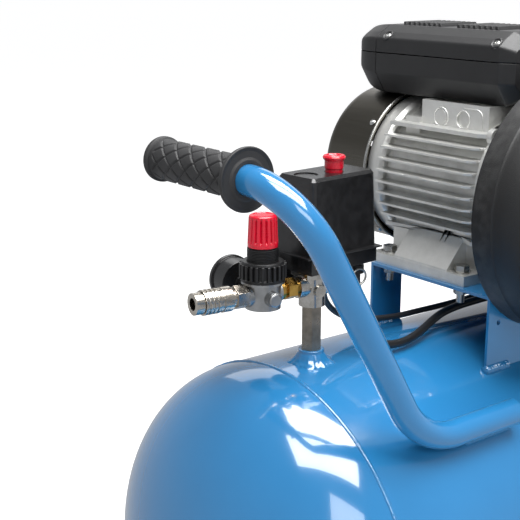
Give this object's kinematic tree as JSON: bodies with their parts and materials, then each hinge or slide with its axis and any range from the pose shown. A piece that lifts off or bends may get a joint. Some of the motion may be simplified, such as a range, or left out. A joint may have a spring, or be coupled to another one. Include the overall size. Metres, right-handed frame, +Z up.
{
  "type": "air compressor",
  "caption": "Belt-driven piston air compressor on a horizontal steel tank, with electric motor, pressure switch, regulator, quick coupler, handle, feet and wheels.",
  "frame": {"origin": "on the floor, under the middle of the whole machine", "axes": "+X along the tank to the wheel end, -Y the belt side, +Z up"},
  "size_m": [1.0142, 0.432, 0.7903],
  "materials": {
    "tank_paint": "glossy blue powder coat",
    "black_plastic": "fine grained moulded plastic",
    "gloss_black": "smooth moulded plastic",
    "red_plastic": "glossy moulded plastic",
    "rubber": "soft moulded rubber",
    "tyre_rubber": "solid rubber tyre",
    "cast_alloy": "die-cast aluminium",
    "zinc": "satin zinc casting",
    "nickel": "nickel plated",
    "bright_steel": "zinc plated steel",
    "cowl_steel": "dark brushed sheet steel",
    "brass": "turned brass",
    "copper": "bare copper",
    "iron": "painted cast iron",
    "dial_white": "printed dial",
    "clear_lens": "clear lens",
    "belt_rubber": "rubber belt"
  },
  "bodies": {
    "machine": {"tank_shell": "tank_paint", "head_left": "tank_paint", "head_right": "tank_paint", "tank_bungs": "tank_paint", "base_brackets": "tank_paint", "rubber_feet": "rubber", "axle_bolts": "bright_steel", "machine_bracket": "tank_paint", "handle_tube": "tank_paint", "handle_grip": "rubber", "hex_nipple": "bright_steel", "manifold": "zinc", "brass_fittings": "brass", "safety_valve": "brass", "gauge_cases": "black_plastic", "gauge_dials": "dial_white", "gauge_lenses": "clear_lens", "regulator_body": "zinc", "ring_nut": "black_plastic", "regulator_bonnet": "black_plastic", "coupler_body": "nickel", "switch_base": "gloss_black", "switch_cover": "gloss_black", "cable_glands": "black_plastic", "motor_lead": "rubber", "unloader_tube": "rubber", "delivery_pipe": "copper", "drain_valve": "brass", "motor_housing": "cast_alloy", "end_shield": "cast_alloy", "fan_cover": "cowl_steel", "stator": "copper", "capacitor_base": "gloss_black", "capacitor_cover": "gloss_black", "capacitors": "dial_white", "fasteners": "bright_steel", "crankcase": "iron", "cylinder_block": "iron", "pump_head": "cast_alloy", "pistons": "cast_alloy", "air_filters": "black_plastic", "drive_belt": "belt_rubber", "guard_back": "black_plastic", "guard_front": "black_plastic"},
    "wheel_near": {"wheel_near": "black_plastic", "tyre_near": "tyre_rubber"},
    "wheel_far": {"wheel_far": "black_plastic", "tyre_far": "tyre_rubber"},
    "safety_ring": {"safety_ring": "bright_steel"},
    "tank_needle": {"needle_tank": "red_plastic"},
    "line_needle": {"needle_line": "red_plastic"},
    "pressure_knob": {"regulator_knob": "red_plastic"},
    "coupler_collar": {"coupler_sleeve": "nickel"},
    "switch_knob": {"switch_knob": "red_plastic"},
    "drain_knob": {"drain_knob": "black_plastic"},
    "motor_rotor": {"rotor": "bright_steel", "cooling_fan": "black_plastic", "motor_pulley": "iron"},
    "pump_crank": {"crankshaft": "bright_steel", "flywheel": "iron"}
  },
  "joints": [
    {"name": "wheel_near_spin", "type": "hinge", "parent": "machine", "child": "wheel_near", "pos_m": [0.3185, -0.185, 0.08], "axis": [0, 1, 0], "continuous": true},
    {"name": "wheel_far_spin", "type": "hinge", "parent": "machine", "child": "wheel_far", "pos_m": [0.3185, 0.185, 0.08], "axis": [0, 1, 0], "continuous": true},
    {"name": "crank_spin", "type": "hinge", "parent": "machine", "child": "pump_crank", "pos_m": [0.2305, -0.125, 0.5883], "axis": [0, 1, 0], "continuous": true},
    {"name": "rotor_spin", "type": "hinge", "parent": "machine", "child": "motor_rotor", "pos_m": [-0.1095, -0.125, 0.5733], "axis": [0, 1, 0], "continuous": true},
    {"name": "pressure_turn", "type": "hinge", "parent": "machine", "child": "pressure_knob", "pos_m": [-0.39412, 0.00628, 0.545], "axis": [0, 0, 1], "range_deg": [-720, 720]},
    {"name": "collar_slide", "type": "slide", "parent": "machine", "child": "coupler_collar", "axis": [0.9925, -0.1219, 0], "range_m": [0, 0.004], "stiffness_N_per_m": 600, "springref_m": -0.004},
    {"name": "switch_lift", "type": "slide", "parent": "machine", "child": "switch_knob", "axis": [0, 0, 1], "range_m": [0, 0.006]},
    {"name": "safety_pull", "type": "slide", "parent": "machine", "child": "safety_ring", "axis": [0.9925, -0.1219, 0], "range_m": [0, 0.004], "stiffness_N_per_m": 900, "springref_m": -0.003},
    {"name": "tank_needle_turn", "type": "hinge", "parent": "machine", "child": "tank_needle", "pos_m": [-0.3363, 0.05459, 0.5025], "axis": [0.1219, 0.9925, 0], "range_deg": [0, 270], "stiffness_Nm_per_rad": 0.002},
    {"name": "line_needle_turn", "type": "hinge", "parent": "machine", "child": "line_needle", "pos_m": [-0.38741, 0.06087, 0.5025], "axis": [0.1219, 0.9925, 0], "range_deg": [0, 270], "stiffness_Nm_per_rad": 0.002},
    {"name": "drain_turn", "type": "hinge", "parent": "machine", "child": "drain_knob", "pos_m": [0, -0.02, 0.041], "axis": [0, 1, 0], "range_deg": [0, 540]}
  ],
  "couplings": [
    {"joint": "rotor_spin", "follows": "crank_spin", "ratio": 2.9474}
  ]
}
